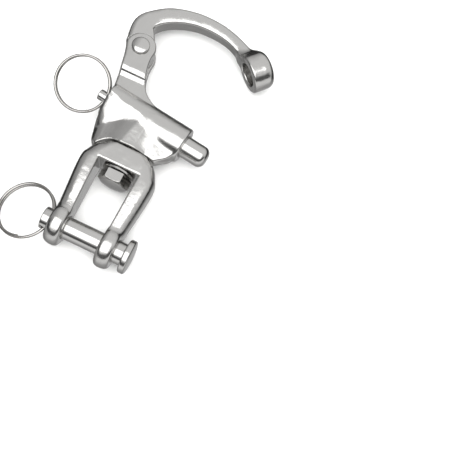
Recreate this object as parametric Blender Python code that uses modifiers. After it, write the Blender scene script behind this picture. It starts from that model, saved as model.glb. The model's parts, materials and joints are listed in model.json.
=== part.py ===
"""Jaw-end swivel snap shackle, cast and polished stainless steel.

It lies on its side as on a bench. +Y runs along the swivel, from the jaw towards the hook.
+Z is the axis of the hook rivet. The tip of the locking plunger points to +X.
The model is laid out from the point where the swivel axis crosses the plunger axis,
and then moved so that its origin is the middle of the bottom of its box.
"""
import math

import bmesh
import bpy
from mathutils import Matrix, Vector

for old in list(bpy.data.objects):
    bpy.data.objects.remove(old)

MM = 0.001

# Clearances
FACE_GAP = 0.3 * MM    # between faces that touch on the real one
RUN_GAP = 0.2 * MM     # round a pin, shank or plunger that turns or slides
CUT_OVER = 2.0 * MM    # how far a cutter runs past the face that it opens

# Plunger and its barrel, measured along the plunger axis from the swivel axis
PLUNGER_TILT = math.radians(7.0)
PLUNGER_D = 8.0 * MM
PLUNGER_REACH = 9.3 * MM      # how far the tip stands out of the barrel, and its travel
PLUNGER_SHOULDER = 4.0 * MM
PLUNGER_NOSE = 2.6 * MM
TAIL_D = 4.0 * MM
TAIL_REACH = 3.9 * MM
TAIL_POINT = 0.5 * MM
BARREL_WALL = 2.7 * MM
BARREL_FRONT = 16.5 * MM
BARREL_BACK = 16.0 * MM
BARREL_BACK_WALL = 3.5 * MM
BARREL_BEVEL = 0.9 * MM

# Spring on the plunger's tail
SPRING_WIRE_D = 0.8 * MM
SPRING_TURNS = 7
SPRING_STEPS = 14             # a turn
SPRING_FIT = 0.35 * MM

# Cast body: web, swivel boss and neck
WEB_THICKNESS = 6.0 * MM
BODY_HALF_WIDTH = 15.4 * MM
BODY_DEPTH = 12.8 * MM
WEB_CORNER = [(0.7 * MM, 5.4 * MM), (3.2 * MM, 0.9 * MM)]   # in from its side, up from its foot
WEB_FOOT = 1.6 * MM           # how far the web's flat foot runs out beside the boss
BOSS_BASE_D = 12.6 * MM
BOSS_TOP_D = 9.0 * MM
NECK_THICKNESS = 8.4 * MM
NECK_FOOT = 4.0 * MM          # half the width of the neck's root inside the barrel
JOGGLE_LENGTH = 5.0 * MM
JOGGLE_TO_SLOT = 0.4 * MM
# Back of the neck: how far it stands behind the rivet, and its height as a share of the rivet's
NECK_BACK = [(3.6 * MM, 0.586), (2.2 * MM, 0.335), (1.6 * MM, 0.084)]
# Front of the neck: shares of the way from its foot to the ear, and of the rivet's height
NECK_FRONT = [(0.0, 0.192), (0.431, 0.285), (0.715, 0.41), (0.935, 0.632), (1.008, 0.849)]

# Fork ears, hook tang and rivet
RIVET_X = -13.9 * MM
RIVET_Y = 23.9 * MM
FORK_THICKNESS = 11.4 * MM
EAR_RADIUS = 5.6 * MM
TANG_THICKNESS = 5.2 * MM
TANG_RADIUS = 5.2 * MM
SLOT_DEPTH = 3.3 * MM         # room between the tang's round end and the slot's floor
RIVET_SHANK_D = 4.0 * MM
RIVET_HEAD_D = 7.0 * MM
RIVET_HEAD_H = 1.3 * MM

# Hook
HOOK_OPEN = math.radians(55.7)
HOOK_EYE_FIT = 0.45 * MM      # gap round the plunger in the eye
HOOK_EYE_WALL = 2.8 * MM
HOOK_EYE_WIDTH = 7.0 * MM
HOOK_EYE_BEVEL = 0.7 * MM
HOOK_ROOT_ANGLE = math.radians(62.0)
HOOK_ROOT_WIDTH = 10.2 * MM
HOOK_ROOT_THICKNESS = 7.6 * MM
HOOK_CREST = 9.0 * MM         # top of the arm's middle line above the rivet
# The arm between its root and its eye: shares of the way to the eye and of the height
# from the eye to the crest, then the width and depth there
HOOK_ARM = [
    (0.18, 0.986, 8.2 * MM, 7.6 * MM),
    (0.33, 1.000, 6.8 * MM, 7.4 * MM),
    (0.52, 0.941, 6.3 * MM, 7.2 * MM),
    (0.72, 0.796, 5.6 * MM, 6.8 * MM),
    (0.87, 0.604, 5.2 * MM, 6.4 * MM),
    (0.96, 0.401, 4.9 * MM, 6.0 * MM),
]
HOOK_NECK_WIDTH = 5.4 * MM
HOOK_NECK_DEPTH = 6.4 * MM
HOOK_CHAMFER = 0.28           # of half the arm's width or depth
HOOK_TANG_LAP = 1.0 * MM      # how far the tang runs into the arm
HOOK_TANG_INSET = 0.8 * MM

# Jaw, measured down the swivel axis from the plunger axis
JAW_CROWN_T = 8.2 * MM
JAW_LENGTH = 47.6 * MM
JAW_GAP = 13.3 * MM
JAW_LEG_WIDTH = 6.4 * MM
JAW_SHOULDER_FLARE = 1.2 * MM
JAW_THICKNESS = 12.6 * MM
# The jaw's shoulder from crown to leg: in from its widest place, down from the crown's top
JAW_CORNER = [(3.6 * MM, 2.0 * MM), (0.9 * MM, 6.2 * MM), (0.0, 10.8 * MM)]
JAW_CROWN_RIM = 0.8 * MM      # how far the crown's flat top runs out beside the boss
JAW_EDGE = 0.6 * MM
BEAD_WALL = 3.2 * MM          # round the pin's bore
BEAD_FLAT = 1.2 * MM          # width of the flat ring round the bore on a bead's inner face
BEAD_WIDTH = 6.2 * MM
BEAD_DISH = 0.6 * MM          # how far a bead's outer face falls in towards the pin
LEG_SETBACK = 0.25 * MM       # how far the legs stand back from the beads' faces
LEG_LAP = 1.0 * MM            # how far the legs run into the beads

# Swivel bolt and its washer
BOLT_D = 6.0 * MM
BOLT_HEAD_AF = 10.0 * MM
BOLT_HEAD_H = 4.0 * MM
BOLT_HEAD_EDGE = 0.35 * MM
BOLT_ROOF = 2.0 * MM          # wall between the bolt's end and the plunger's bore
WASHER_D = 12.0 * MM
WASHER_T = 0.9 * MM

# Clevis pin
PIN_D = 8.0 * MM
PIN_HEAD_D = 12.3 * MM
PIN_HEAD_T = 2.9 * MM
PIN_HEAD_STANDOFF = 2.6 * MM
PIN_HEAD_CROWN = [(1.6 * MM, 0.1 * MM), (0.2 * MM, 0.6 * MM), (0.0, 1.2 * MM)]   # in, down
PIN_HEAD_EDGE = 0.3 * MM
PIN_POINT = 0.6 * MM
PIN_TAIL = 2.5 * MM

# Split rings
RING_MEAN_D = 20.2 * MM
RING_WIRE_D = 1.0 * MM
RING_TURN_GAP = 0.12 * MM
RING_STEPS = 84
PLUNGER_RING_TURNS = 1.92
PLUNGER_RING_ENDS = math.radians(147.0)
CLEVIS_RING_TURNS = 1.85
CLEVIS_RING_ENDS = math.radians(132.0)
RING_HOLE_ROOM = 0.58 * MM    # hole less the two turns that lie in it
PLUNGER_RING_ROLL = math.radians(26.0)
CLEVIS_RING_DROOP = math.radians(16.5)

ROUND = 48
FINE = 32
SMALL = 24


def ring_bow(hole_length):
    """Half of what a split ring bows sideways while it passes through a hole."""
    radius = RING_MEAN_D / 2
    return (radius - math.sqrt(radius ** 2 - (hole_length / 2) ** 2)) / 2


# Places that follow from the sizes above
PLUNGER_TIP = BARREL_FRONT + PLUNGER_REACH
TAIL_END = BARREL_BACK + TAIL_REACH
BARREL_D = PLUNGER_D + 2 * BARREL_WALL
SPRING_SEAT = BARREL_BACK - BARREL_BACK_WALL
RING_PITCH = RING_WIRE_D + RING_TURN_GAP
RING_HOLE_D = RING_PITCH + RING_WIRE_D + RING_HOLE_ROOM
PLUNGER_RING_BOW = ring_bow(TAIL_D)
PLUNGER_HOLE = BARREL_BACK + FACE_GAP + RING_WIRE_D / 2 + RUN_GAP
HOOK_EYE_BORE = PLUNGER_D + 2 * HOOK_EYE_FIT
HOOK_EYE_OD = HOOK_EYE_BORE + 2 * HOOK_EYE_WALL
SLOT_FLOOR = RIVET_Y - TANG_RADIUS - SLOT_DEPTH
JOGGLE_HIGH = SLOT_FLOOR - JOGGLE_TO_SLOT
JOGGLE_LOW = JOGGLE_HIGH - JOGGLE_LENGTH
BOLT_END = PLUNGER_D / 2 + BOLT_ROOF
CROWN_TOP = BODY_DEPTH + FACE_GAP
CROWN_UNDER = CROWN_TOP + JAW_CROWN_T
HEAD_SEAT = CROWN_UNDER + FACE_GAP + WASHER_T + FACE_GAP
PIN_BORE = PIN_D / 2 + RUN_GAP
BEAD_RADIUS = PIN_BORE + BEAD_WALL
JAW_FACE = JAW_GAP / 2 + BEAD_WIDTH
PIN_TIP = JAW_FACE + PIN_TAIL
PIN_RING_BOW = ring_bow(PIN_D)
PIN_HOLE = JAW_FACE - BEAD_DISH + RING_WIRE_D / 2 + 2 * FACE_GAP - PIN_RING_BOW
RIVET = Vector((RIVET_X, RIVET_Y, 0.0))
ALONG = Vector((math.cos(PLUNGER_TILT), -math.sin(PLUNGER_TILT), 0.0))
ACROSS = Vector((math.sin(PLUNGER_TILT), math.cos(PLUNGER_TILT), 0.0))


# --- scene and object helpers ---------------------------------------------------------

def new_collection(name):
    collection = bpy.data.collections.new(name)
    bpy.context.scene.collection.children.link(collection)
    return collection


def steel(name, shade, roughness):
    """A polished stainless steel; shade is its linear grey."""
    material = bpy.data.materials.new(name)
    material.use_nodes = True
    shader = material.node_tree.nodes["Principled BSDF"]
    shader.inputs["Base Color"].default_value = (shade, shade, shade * 0.98, 1.0)
    shader.inputs["Metallic"].default_value = 1.0
    shader.inputs["Roughness"].default_value = roughness
    return material


def frame(origin, z_axis, y_axis):
    """A placing matrix from an origin and two of its axes."""
    z_axis = z_axis.normalized()
    x_axis = y_axis.cross(z_axis).normalized()
    y_axis = z_axis.cross(x_axis)
    turn = Matrix((x_axis, y_axis, z_axis)).transposed()
    return Matrix.Translation(origin) @ turn.to_4x4()


def add_object(name, data, place, collection, material=None):
    item = bpy.data.objects.new(name, data)
    collection.objects.link(item)
    item.matrix_world = place
    if material:
        data.materials.append(material)
    return item


def as_tool(item):
    """Turn an object into a cutter or a guide that only other objects use."""
    for collection in list(item.users_collection):
        collection.objects.unlink(item)
    TOOLS.objects.link(item)
    item.hide_render = True
    item.display_type = "WIRE"
    return item


def combine(item, other, operation):
    step = item.modifiers.new(operation.lower(), "BOOLEAN")
    step.operation = operation
    step.solver = "EXACT"
    step.object = as_tool(other)
    return item


def round_edges(item, width, segments):
    step = item.modifiers.new("edges", "BEVEL")
    step.width = width
    step.segments = segments
    step.limit_method = "ANGLE"
    step.angle_limit = math.radians(40.0)
    return item


def finish(item):
    """Shade a finished piece smooth across its shallow edges."""
    item.data.shade_smooth()
    item.data.set_sharp_from_angle(angle=math.radians(35.0))
    return item


# --- shapes ---------------------------------------------------------------------------

def bar(name, radius, low, high, place, collection, material=None, sides=ROUND, top=None):
    """A round or many-sided bar along local Z from low to high; top is its radius there."""
    shape = bmesh.new()
    middle = Matrix.Translation((0.0, 0.0, (low + high) / 2))
    bmesh.ops.create_cone(
        shape, cap_ends=True, segments=sides, radius1=radius,
        radius2=radius if top is None else top, depth=high - low, matrix=middle)
    mesh = bpy.data.meshes.new(name)
    shape.to_mesh(mesh)
    shape.free()
    return add_object(name, mesh, place, collection, material)


def block(name, low, high, place, collection):
    """A box between two corners, in the frame of its place."""
    low = Vector(low)
    high = Vector(high)
    size = high - low
    shape = bmesh.new()
    fit = Matrix.Translation((low + high) / 2) @ Matrix.Diagonal((*size, 1.0))
    bmesh.ops.create_cube(shape, size=1.0, matrix=fit)
    mesh = bpy.data.meshes.new(name)
    shape.to_mesh(mesh)
    shape.free()
    return add_object(name, mesh, place, collection)


def curve_to_mesh(item, collection, material=None):
    """Replace a curve object by a welded mesh in the same place."""
    bpy.context.view_layer.update()
    graph = bpy.context.evaluated_depsgraph_get()
    mesh = bpy.data.meshes.new_from_object(item.evaluated_get(graph))
    shape = bmesh.new()
    shape.from_mesh(mesh)
    bmesh.ops.remove_doubles(shape, verts=shape.verts, dist=1e-6)
    bmesh.ops.recalc_face_normals(shape, faces=shape.faces)
    shape.to_mesh(mesh)
    shape.free()
    name = item.name
    place = item.matrix_world.copy()
    bpy.data.objects.remove(item)
    return add_object(name, mesh, place, collection, material)


def plate(name, outline, thickness, place, collection, material=None):
    """A flat outline in local XY, half its thickness to each side of it."""
    curve = bpy.data.curves.new(name, "CURVE")
    curve.dimensions = "2D"
    curve.fill_mode = "BOTH"
    curve.extrude = thickness / 2
    spline = curve.splines.new("POLY")
    spline.points.add(len(outline) - 1)
    for point, (x, y) in zip(spline.points, outline):
        point.co = (x, y, 0.0, 1.0)
    spline.use_cyclic_u = True
    return curve_to_mesh(add_object(name, curve, place, collection), collection, material)


def wire(name, points, diameter, place, collection, material):
    """A round wire through points, with closed ends."""
    curve = bpy.data.curves.new(name, "CURVE")
    curve.dimensions = "3D"
    curve.bevel_depth = diameter / 2
    curve.bevel_resolution = 2
    curve.use_fill_caps = True
    spline = curve.splines.new("POLY")
    spline.points.add(len(points) - 1)
    for point, place_on_wire in zip(spline.points, points):
        point.co = (*place_on_wire, 1.0)
    return curve_to_mesh(add_object(name, curve, place, collection), collection, material)


def turned(name, profile, place, collection, material=None, sides=ROUND):
    """A body turned about local Z; the profile runs down its outer side as (radius, z)."""
    mesh = bpy.data.meshes.new(name)
    points = [(radius, 0.0, z) for radius, z in profile]
    edges = [(i, i + 1) for i in range(len(profile) - 1)]
    mesh.from_pydata(points, edges, [])
    item = add_object(name, mesh, place, collection, material)
    step = item.modifiers.new("turn", "SCREW")
    step.steps = sides
    step.render_steps = sides
    step.use_merge_vertices = True
    step.merge_threshold = 1e-6
    step.use_smooth_shade = True
    return item


def arc(centre, radius, start, stop, count):
    """Points on an arc from start to stop, in degrees."""
    turns = [math.radians(start + (stop - start) * i / count) for i in range(count + 1)]
    return [(centre[0] + radius * math.cos(t), centre[1] + radius * math.sin(t)) for t in turns]


def smooth(points, count):
    """A Catmull-Rom curve through points of any size, with count steps a span."""
    points = [Vector(p) for p in points]
    points = [2 * points[0] - points[1]] + points + [2 * points[-1] - points[-2]]
    path = []
    for i in range(1, len(points) - 2):
        a, b, c, d = points[i - 1:i + 3]
        for k in range(count):
            t = k / count
            path.append(0.5 * (2 * b + (c - a) * t + (2 * a - 5 * b + 4 * c - d) * t ** 2
                               + (3 * b - a - 3 * c + d) * t ** 3))
    path.append(points[-2])
    return path


def loft(name, sections, place, collection, material=None):
    """A closed body through rings of equal count, for a bar whose section changes."""
    shape = bmesh.new()
    rings = [[shape.verts.new(point) for point in section] for section in sections]
    for near, far in zip(rings, rings[1:]):
        for i in range(len(near)):
            j = (i + 1) % len(near)
            shape.faces.new((near[i], near[j], far[j], far[i]))
    shape.faces.new(rings[0][::-1])
    shape.faces.new(rings[-1])
    bmesh.ops.recalc_face_normals(shape, faces=shape.faces)
    mesh = bpy.data.meshes.new(name)
    shape.to_mesh(mesh)
    shape.free()
    return add_object(name, mesh, place, collection, material)


# --- pieces ---------------------------------------------------------------------------

def web_outline():
    """A rounded shield under the barrel: its right side runs down, its left side back up."""
    corner = [(BODY_HALF_WIDTH - x, y - BODY_DEPTH) for x, y in WEB_CORNER]
    foot = (BOSS_BASE_D / 2 + WEB_FOOT, -BODY_DEPTH)
    right = [tuple(p) for p in smooth([(BODY_HALF_WIDTH, 0.0)] + corner + [foot], 5)]
    return right + [(-x, y) for x, y in reversed(right)]


def fork_outline():
    """Neck and ears seen from +Z: a round ear, a straight back and a swept front."""
    ear = arc(RIVET, EAR_RADIUS, 0.0, 180.0, 20)
    back = smooth([(RIVET_X - EAR_RADIUS, RIVET_Y)]
                  + [(RIVET_X - behind, RIVET_Y * share) for behind, share in NECK_BACK], 5)
    ear_front = RIVET_X + EAR_RADIUS
    front = smooth([(NECK_FOOT + (ear_front - NECK_FOOT) * way, RIVET_Y * share)
                    for way, share in NECK_FRONT] + [(ear_front, RIVET_Y)], 5)
    foot = [(-NECK_FOOT, 0.0), (NECK_FOOT, 0.0)]
    return ear[:-1] + [tuple(p) for p in back] + foot + [tuple(p) for p in front[:-1]]


def fork_side():
    """Neck and ears seen from the side as (y, z): the joggle spreads the ears."""
    neck = NECK_THICKNESS / 2
    ear = FORK_THICKNESS / 2
    top = RIVET_Y + EAR_RADIUS + CUT_OVER
    upper = [(-CUT_OVER, neck), (JOGGLE_LOW, neck), (JOGGLE_HIGH, ear), (top, ear)]
    return upper + [(y, -z) for y, z in reversed(upper)]


def make_body():
    body = bar("cast_body", BARREL_D / 2, -BARREL_BACK, BARREL_FRONT, PLUNGER_PLACE,
               PARTS, STEEL_CAST)
    round_edges(body, BARREL_BEVEL, 2)
    combine(body, plate("web", web_outline(), WEB_THICKNESS, Matrix(), TOOLS), "UNION")
    combine(body, bar("boss", BOSS_TOP_D / 2, 0.0, BODY_DEPTH, DOWN_PLACE, TOOLS,
                      top=BOSS_BASE_D / 2), "UNION")
    fork = plate("fork", fork_outline(), FORK_THICKNESS, Matrix(), TOOLS)
    side_place = frame(Vector((RIVET_X, 0.0, 0.0)), Vector((1.0, 0.0, 0.0)),
                       Vector((0.0, 0.0, 1.0)))
    fork_reach = 2 * (abs(RIVET_X) + EAR_RADIUS + CUT_OVER)
    side = plate("fork_side", fork_side(), fork_reach, side_place, TOOLS)
    combine(fork, side, "INTERSECT")
    combine(body, fork, "UNION")
    cutters = [
        bar("plunger_bore", PLUNGER_D / 2 + RUN_GAP, -SPRING_SEAT, BARREL_FRONT + CUT_OVER,
            PLUNGER_PLACE, TOOLS),
        bar("tail_bore", TAIL_D / 2 + RUN_GAP, -BARREL_BACK - CUT_OVER,
            -SPRING_SEAT + CUT_OVER, PLUNGER_PLACE, TOOLS, sides=FINE),
        bar("bolt_bore", BOLT_D / 2 + RUN_GAP, BOLT_END - FACE_GAP, BODY_DEPTH + CUT_OVER,
            DOWN_PLACE, TOOLS, sides=FINE),
        bar("rivet_bore", RIVET_SHANK_D / 2 + RUN_GAP, -FORK_THICKNESS, FORK_THICKNESS,
            Matrix.Translation(RIVET), TOOLS, sides=FINE),
        block("tang_slot",
              (-4 * EAR_RADIUS, SLOT_FLOOR - RIVET_Y, -TANG_THICKNESS / 2 - FACE_GAP),
              (4 * EAR_RADIUS, 4 * EAR_RADIUS, TANG_THICKNESS / 2 + FACE_GAP),
              Matrix.Translation(RIVET), TOOLS),
    ]
    for cutter in cutters:
        combine(body, cutter, "DIFFERENCE")
    return finish(body)


def arm_stations():
    """The closed hook's arm from its root to its eye, as (x, y, width, depth) from the rivet."""
    reach = EAR_RADIUS + FACE_GAP
    eye = EYE_MIDDLE - RIVET
    drop = HOOK_CREST - eye.y
    root = (reach * HOOK_ROOT_WAY.x, reach * HOOK_ROOT_WAY.y, HOOK_ROOT_WIDTH, HOOK_ROOT_THICKNESS)
    arm = [(eye.x * way, eye.y + drop * height, width, depth)
           for way, height, width, depth in HOOK_ARM]
    end = (eye.x, eye.y + (HOOK_EYE_OD + HOOK_EYE_BORE) / 4, HOOK_NECK_WIDTH, HOOK_NECK_DEPTH)
    return [root] + arm + [end]


def make_hook():
    """A chamfered arm on a thin tang, with a tubular eye for the plunger."""
    stations = smooth(arm_stations(), 4)
    sections = []
    for i, station in enumerate(stations):
        ahead = stations[min(i + 1, len(stations) - 1)]
        behind = stations[max(i - 1, 0)]
        heading = Vector((ahead.x - behind.x, ahead.y - behind.y)).normalized()
        out = Vector((-heading.y, heading.x, 0.0))
        middle = Vector((station.x, station.y, 0.0))
        half_w = station.z / 2
        half_d = station.w / 2
        chamfer = HOOK_CHAMFER * min(half_w, half_d)
        ring = [(half_w - chamfer, half_d), (half_w, half_d - chamfer)]
        ring += [(w, -d) for w, d in reversed(ring)]
        ring += [(-w, -d) for w, d in ring]
        sections.append([middle + out * w + Vector((0.0, 0.0, d)) for w, d in ring])
    hook = loft("hook", sections, HOOK_PLACE, PARTS, STEEL_CAST)
    corner = HOOK_ROOT_WAY * (EAR_RADIUS + FACE_GAP + HOOK_TANG_LAP)
    half = Vector((-HOOK_ROOT_WAY.y, HOOK_ROOT_WAY.x)) * (HOOK_ROOT_WIDTH / 2 - HOOK_TANG_INSET)
    start = math.degrees(HOOK_ROOT_ANGLE) + 90.0
    round_end = arc((0.0, 0.0), TANG_RADIUS, start, start + 180.0, 20)
    tang = plate("tang", round_end + [tuple(corner - half), tuple(corner + half)],
                 TANG_THICKNESS, HOOK_PLACE, TOOLS)
    combine(hook, tang, "UNION")
    eye = bar("eye", HOOK_EYE_OD / 2, -HOOK_EYE_WIDTH / 2, HOOK_EYE_WIDTH / 2, EYE_PLACE, TOOLS)
    round_edges(eye, HOOK_EYE_BEVEL, 2)
    combine(hook, eye, "UNION")
    combine(hook, bar("eye_bore", HOOK_EYE_BORE / 2, -HOOK_EYE_WIDTH, HOOK_EYE_WIDTH,
                      EYE_PLACE, TOOLS), "DIFFERENCE")
    combine(hook, bar("tang_bore", RIVET_SHANK_D / 2 + RUN_GAP, -TANG_THICKNESS, TANG_THICKNESS,
                      HOOK_PLACE, TOOLS, sides=FINE), "DIFFERENCE")
    return finish(hook)


def make_rivet():
    seat = FORK_THICKNESS / 2 + RUN_GAP
    shank = RIVET_SHANK_D / 2
    head = RIVET_HEAD_D / 2
    dome = [(head * math.sin(t), seat + RIVET_HEAD_H * (0.25 + 0.75 * math.cos(t)))
            for t in (0.0, 0.35, 0.7, 1.05, math.pi / 2)]
    upper = dome + [(head, seat), (shank, seat)]
    lower = [(radius, -z) for radius, z in reversed(upper)]
    rivet = turned("hook_rivet", upper + lower, Matrix.Translation(RIVET), PARTS, STEEL_TURNED,
                   FINE)
    return finish(rivet)


def make_plunger():
    radius = PLUNGER_D / 2
    nose = [(radius - PLUNGER_NOSE * (1 - math.sin(t)), PLUNGER_TIP - PLUNGER_NOSE
             * (1 - math.cos(t))) for t in (0.0, 0.4, 0.8, 1.2, math.pi / 2)]
    tail = TAIL_D / 2
    profile = [(0.0, PLUNGER_TIP)] + nose + [
        (radius, PLUNGER_SHOULDER), (tail, PLUNGER_SHOULDER), (tail, -TAIL_END + TAIL_POINT),
        (tail - TAIL_POINT, -TAIL_END), (0.0, -TAIL_END)]
    plunger = turned("plunger", profile, PLUNGER_PLACE, PARTS, STEEL_TURNED)
    hole_place = frame(ALONG * -PLUNGER_HOLE, RING_ACROSS, ALONG)
    combine(plunger, bar("plunger_ring_hole", RING_HOLE_D / 2, -TAIL_D, TAIL_D, hole_place,
                         TOOLS, sides=SMALL), "DIFFERENCE")
    return finish(plunger)


def make_spring():
    """A compression spring on the plunger's tail, between the back wall and the shoulder."""
    low = -SPRING_SEAT + SPRING_FIT + SPRING_WIRE_D / 2
    high = PLUNGER_SHOULDER - SPRING_FIT - SPRING_WIRE_D / 2
    mean = (TAIL_D + PLUNGER_D) / 4
    count = SPRING_TURNS * SPRING_STEPS
    points = []
    for i in range(count + 1):
        turn = 2 * math.pi * SPRING_TURNS * i / count
        points.append((mean * math.cos(turn), mean * math.sin(turn),
                       low + (high - low) * i / count))
    return finish(wire("plunger_spring", points, SPRING_WIRE_D, PLUNGER_PLACE, PARTS,
                       STEEL_SPRING))


def ring_points(turns, ends):
    """A split ring's wire about local Z; local X points from its hole to its middle.

    ends is the middle of the gap between the wire's two ends, as an angle from local X.
    """
    points = []
    for i in range(RING_STEPS + 1):
        turn = ends + 2 * math.pi * turns * (i / RING_STEPS - 0.5)
        points.append((RING_MEAN_D / 2 * (1 + math.cos(turn)),
                       RING_MEAN_D / 2 * math.sin(turn),
                       RING_PITCH * turn / (2 * math.pi)))
    return points


def make_ring(name, place, turns, ends):
    return finish(wire(name, ring_points(turns, ends), RING_WIRE_D, place, PARTS, STEEL_SPRING))


def jaw_outline():
    """Half the jaw seen from +Z, from the crown's middle down the outer and up the inner side."""
    top = -CROWN_TOP
    shoulder = JAW_FACE + JAW_SHOULDER_FLARE
    bead_top = -JAW_LENGTH + BEAD_RADIUS
    corner = [(BOSS_BASE_D / 2 + JAW_CROWN_RIM, top)]
    corner += [(shoulder - x, top - y) for x, y in JAW_CORNER]
    outer = [(0.0, top)] + [tuple(p) for p in smooth(
        corner + [(JAW_FACE - LEG_SETBACK, bead_top - LEG_LAP)], 5)]
    foot = -JAW_LENGTH + BEAD_RADIUS / 2
    inner = [(JAW_FACE - 3 * LEG_SETBACK, foot), (JAW_GAP / 2 + LEG_SETBACK, foot),
             (shoulder - JAW_LEG_WIDTH, -CROWN_UNDER), (0.0, -CROWN_UNDER)]
    return outer + inner


def bead_profile():
    """A bead about the pin, as (radius, height): dished outside above, flat inside below."""
    half = BEAD_WIDTH / 2
    flat = PIN_BORE + BEAD_FLAT
    edge = [(flat + (BEAD_RADIUS - flat) * math.sin(t), half * math.cos(t))
            for t in (0.0, 0.4, 0.8, 1.2, math.pi / 2)]
    outside = [(0.0, half - BEAD_DISH), (PIN_BORE, half - BEAD_DISH)] + edge
    return outside + [(radius, -height) for radius, height in reversed(edge[:-1])] + [(0.0, -half)]


def make_jaw():
    """A crown and two legs that end in beads, bored for the pin and the bolt."""
    half = jaw_outline()
    mirrored = [(-x, y) for x, y in reversed(half[1:-1])]
    jaw = plate("jaw", half + mirrored, JAW_THICKNESS, Matrix(), PARTS, STEEL_CAST)
    round_edges(jaw, JAW_EDGE, 2)
    combine(jaw, bar("swivel_bore", BOLT_D / 2 + RUN_GAP, CROWN_TOP - CUT_OVER,
                     CROWN_UNDER + CUT_OVER, DOWN_PLACE, TOOLS, sides=FINE), "DIFFERENCE")
    middle = JAW_GAP / 2 + BEAD_WIDTH / 2
    for side, name in ((1.0, "bead_right"), (-1.0, "bead_left")):
        place = frame(Vector((side * middle, -JAW_LENGTH, 0.0)), Vector((side, 0.0, 0.0)),
                      Vector((0.0, 1.0, 0.0)))
        combine(jaw, turned(name, bead_profile(), place, TOOLS), "UNION")
    combine(jaw, bar("pin_bore", PIN_BORE, -JAW_FACE - CUT_OVER, JAW_FACE + CUT_OVER,
                     PIN_PLACE, TOOLS), "DIFFERENCE")
    return finish(jaw)


def make_bolt():
    """Hexagon bolt screwed up into the boss; its head holds the washer and the jaw."""
    bolt = bar("swivel_bolt", BOLT_HEAD_AF / math.sqrt(3), HEAD_SEAT, HEAD_SEAT + BOLT_HEAD_H,
               DOWN_PLACE, PARTS, STEEL_TURNED, sides=6)
    round_edges(bolt, BOLT_HEAD_EDGE, 1)
    shank = bar("bolt_shank", BOLT_D / 2, BOLT_END, HEAD_SEAT + BOLT_HEAD_H / 2, DOWN_PLACE,
                TOOLS, sides=FINE)
    combine(bolt, shank, "UNION")
    return finish(bolt)


def make_washer():
    washer = bar("bolt_washer", WASHER_D / 2, CROWN_UNDER + FACE_GAP,
                 CROWN_UNDER + FACE_GAP + WASHER_T, DOWN_PLACE, PARTS, STEEL_TURNED)
    combine(washer, bar("washer_bore", BOLT_D / 2 + RUN_GAP, CROWN_UNDER,
                        HEAD_SEAT + CUT_OVER, DOWN_PLACE, TOOLS, sides=FINE), "DIFFERENCE")
    return finish(washer)


def make_pin():
    """Clevis pin along +X: a flanged head outside one bead, a drilled end outside the other."""
    radius = PIN_D / 2
    head = PIN_HEAD_D / 2
    under = JAW_FACE + PIN_HEAD_STANDOFF
    top = under + PIN_HEAD_T
    profile = [(0.0, top)] + [(head - inward, top - down) for inward, down in PIN_HEAD_CROWN]
    profile += [(head, under + PIN_HEAD_EDGE), (head - PIN_HEAD_EDGE, under), (radius, under),
                (radius, -PIN_TIP + PIN_POINT), (radius - PIN_POINT, -PIN_TIP), (0.0, -PIN_TIP)]
    pin = turned("clevis_pin", profile, PIN_PLACE, PARTS, STEEL_TURNED)
    hole_place = frame(Vector((-PIN_HOLE, -JAW_LENGTH, 0.0)), Vector((0.0, 1.0, 0.0)),
                       Vector((0.0, 0.0, 1.0)))
    combine(pin, bar("clevis_ring_hole", RING_HOLE_D / 2, -PIN_D, PIN_D, hole_place, TOOLS,
                     sides=SMALL), "DIFFERENCE")
    return finish(pin)


def stand_on_origin():
    """Move the whole assembly so that the middle of its bottom is at the world's origin."""
    bpy.context.view_layer.update()
    graph = bpy.context.evaluated_depsgraph_get()
    corners = []
    for item in PARTS.objects:
        if item.type == "MESH":
            mesh = item.evaluated_get(graph).to_mesh()
            corners += [item.matrix_world @ v.co for v in mesh.vertices]
            item.evaluated_get(graph).to_mesh_clear()
    low = Vector([min(c[i] for c in corners) for i in range(3)])
    high = Vector([max(c[i] for c in corners) for i in range(3)])
    shift = Vector((-(low.x + high.x) / 2, -(low.y + high.y) / 2, -low.z))
    anchor = bpy.data.objects.new("layout_origin", None)
    PARTS.objects.link(anchor)
    for item in list(PARTS.objects) + list(TOOLS.objects):
        if item != anchor:
            item.parent = anchor
    anchor.location = shift
    bpy.context.view_layer.update()
    print("layout point moved to", [round(value / MM, 4) for value in shift], "mm")
    return shift


PARTS = new_collection("swivel_snap_shackle")
TOOLS = new_collection("cutters_and_guides")
STEEL_CAST = steel("cast_stainless_polished", 0.42, 0.22)
STEEL_TURNED = steel("turned_stainless_bright", 0.50, 0.15)
STEEL_SPRING = steel("spring_stainless_wire", 0.48, 0.18)

PLUNGER_PLACE = frame(Vector((0.0, 0.0, 0.0)), ALONG, ACROSS)
DOWN_PLACE = frame(Vector((0.0, 0.0, 0.0)), Vector((0.0, -1.0, 0.0)), Vector((0.0, 0.0, 1.0)))
PIN_PLACE = frame(Vector((0.0, -JAW_LENGTH, 0.0)), Vector((1.0, 0.0, 0.0)),
                  Vector((0.0, 1.0, 0.0)))
EYE_MIDDLE = ALONG * (BARREL_FRONT + FACE_GAP + HOOK_EYE_WIDTH / 2)
HOOK_ROOT_WAY = Vector((math.cos(HOOK_ROOT_ANGLE), math.sin(HOOK_ROOT_ANGLE)))
HOOK_PLACE = Matrix.Translation(RIVET) @ Matrix.Rotation(HOOK_OPEN, 4, "Z")
EYE_PLACE = HOOK_PLACE @ Matrix.Translation(-RIVET) @ frame(EYE_MIDDLE, ALONG, ACROSS)
ROLL = Matrix.Rotation(PLUNGER_RING_ROLL, 3, ALONG)
RING_ACROSS = ROLL @ ACROSS
RING_UP = ROLL @ Vector((0.0, 0.0, 1.0))
PLUNGER_RING_PLACE = frame(ALONG * (PLUNGER_RING_BOW - PLUNGER_HOLE), RING_UP, -RING_ACROSS)
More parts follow.
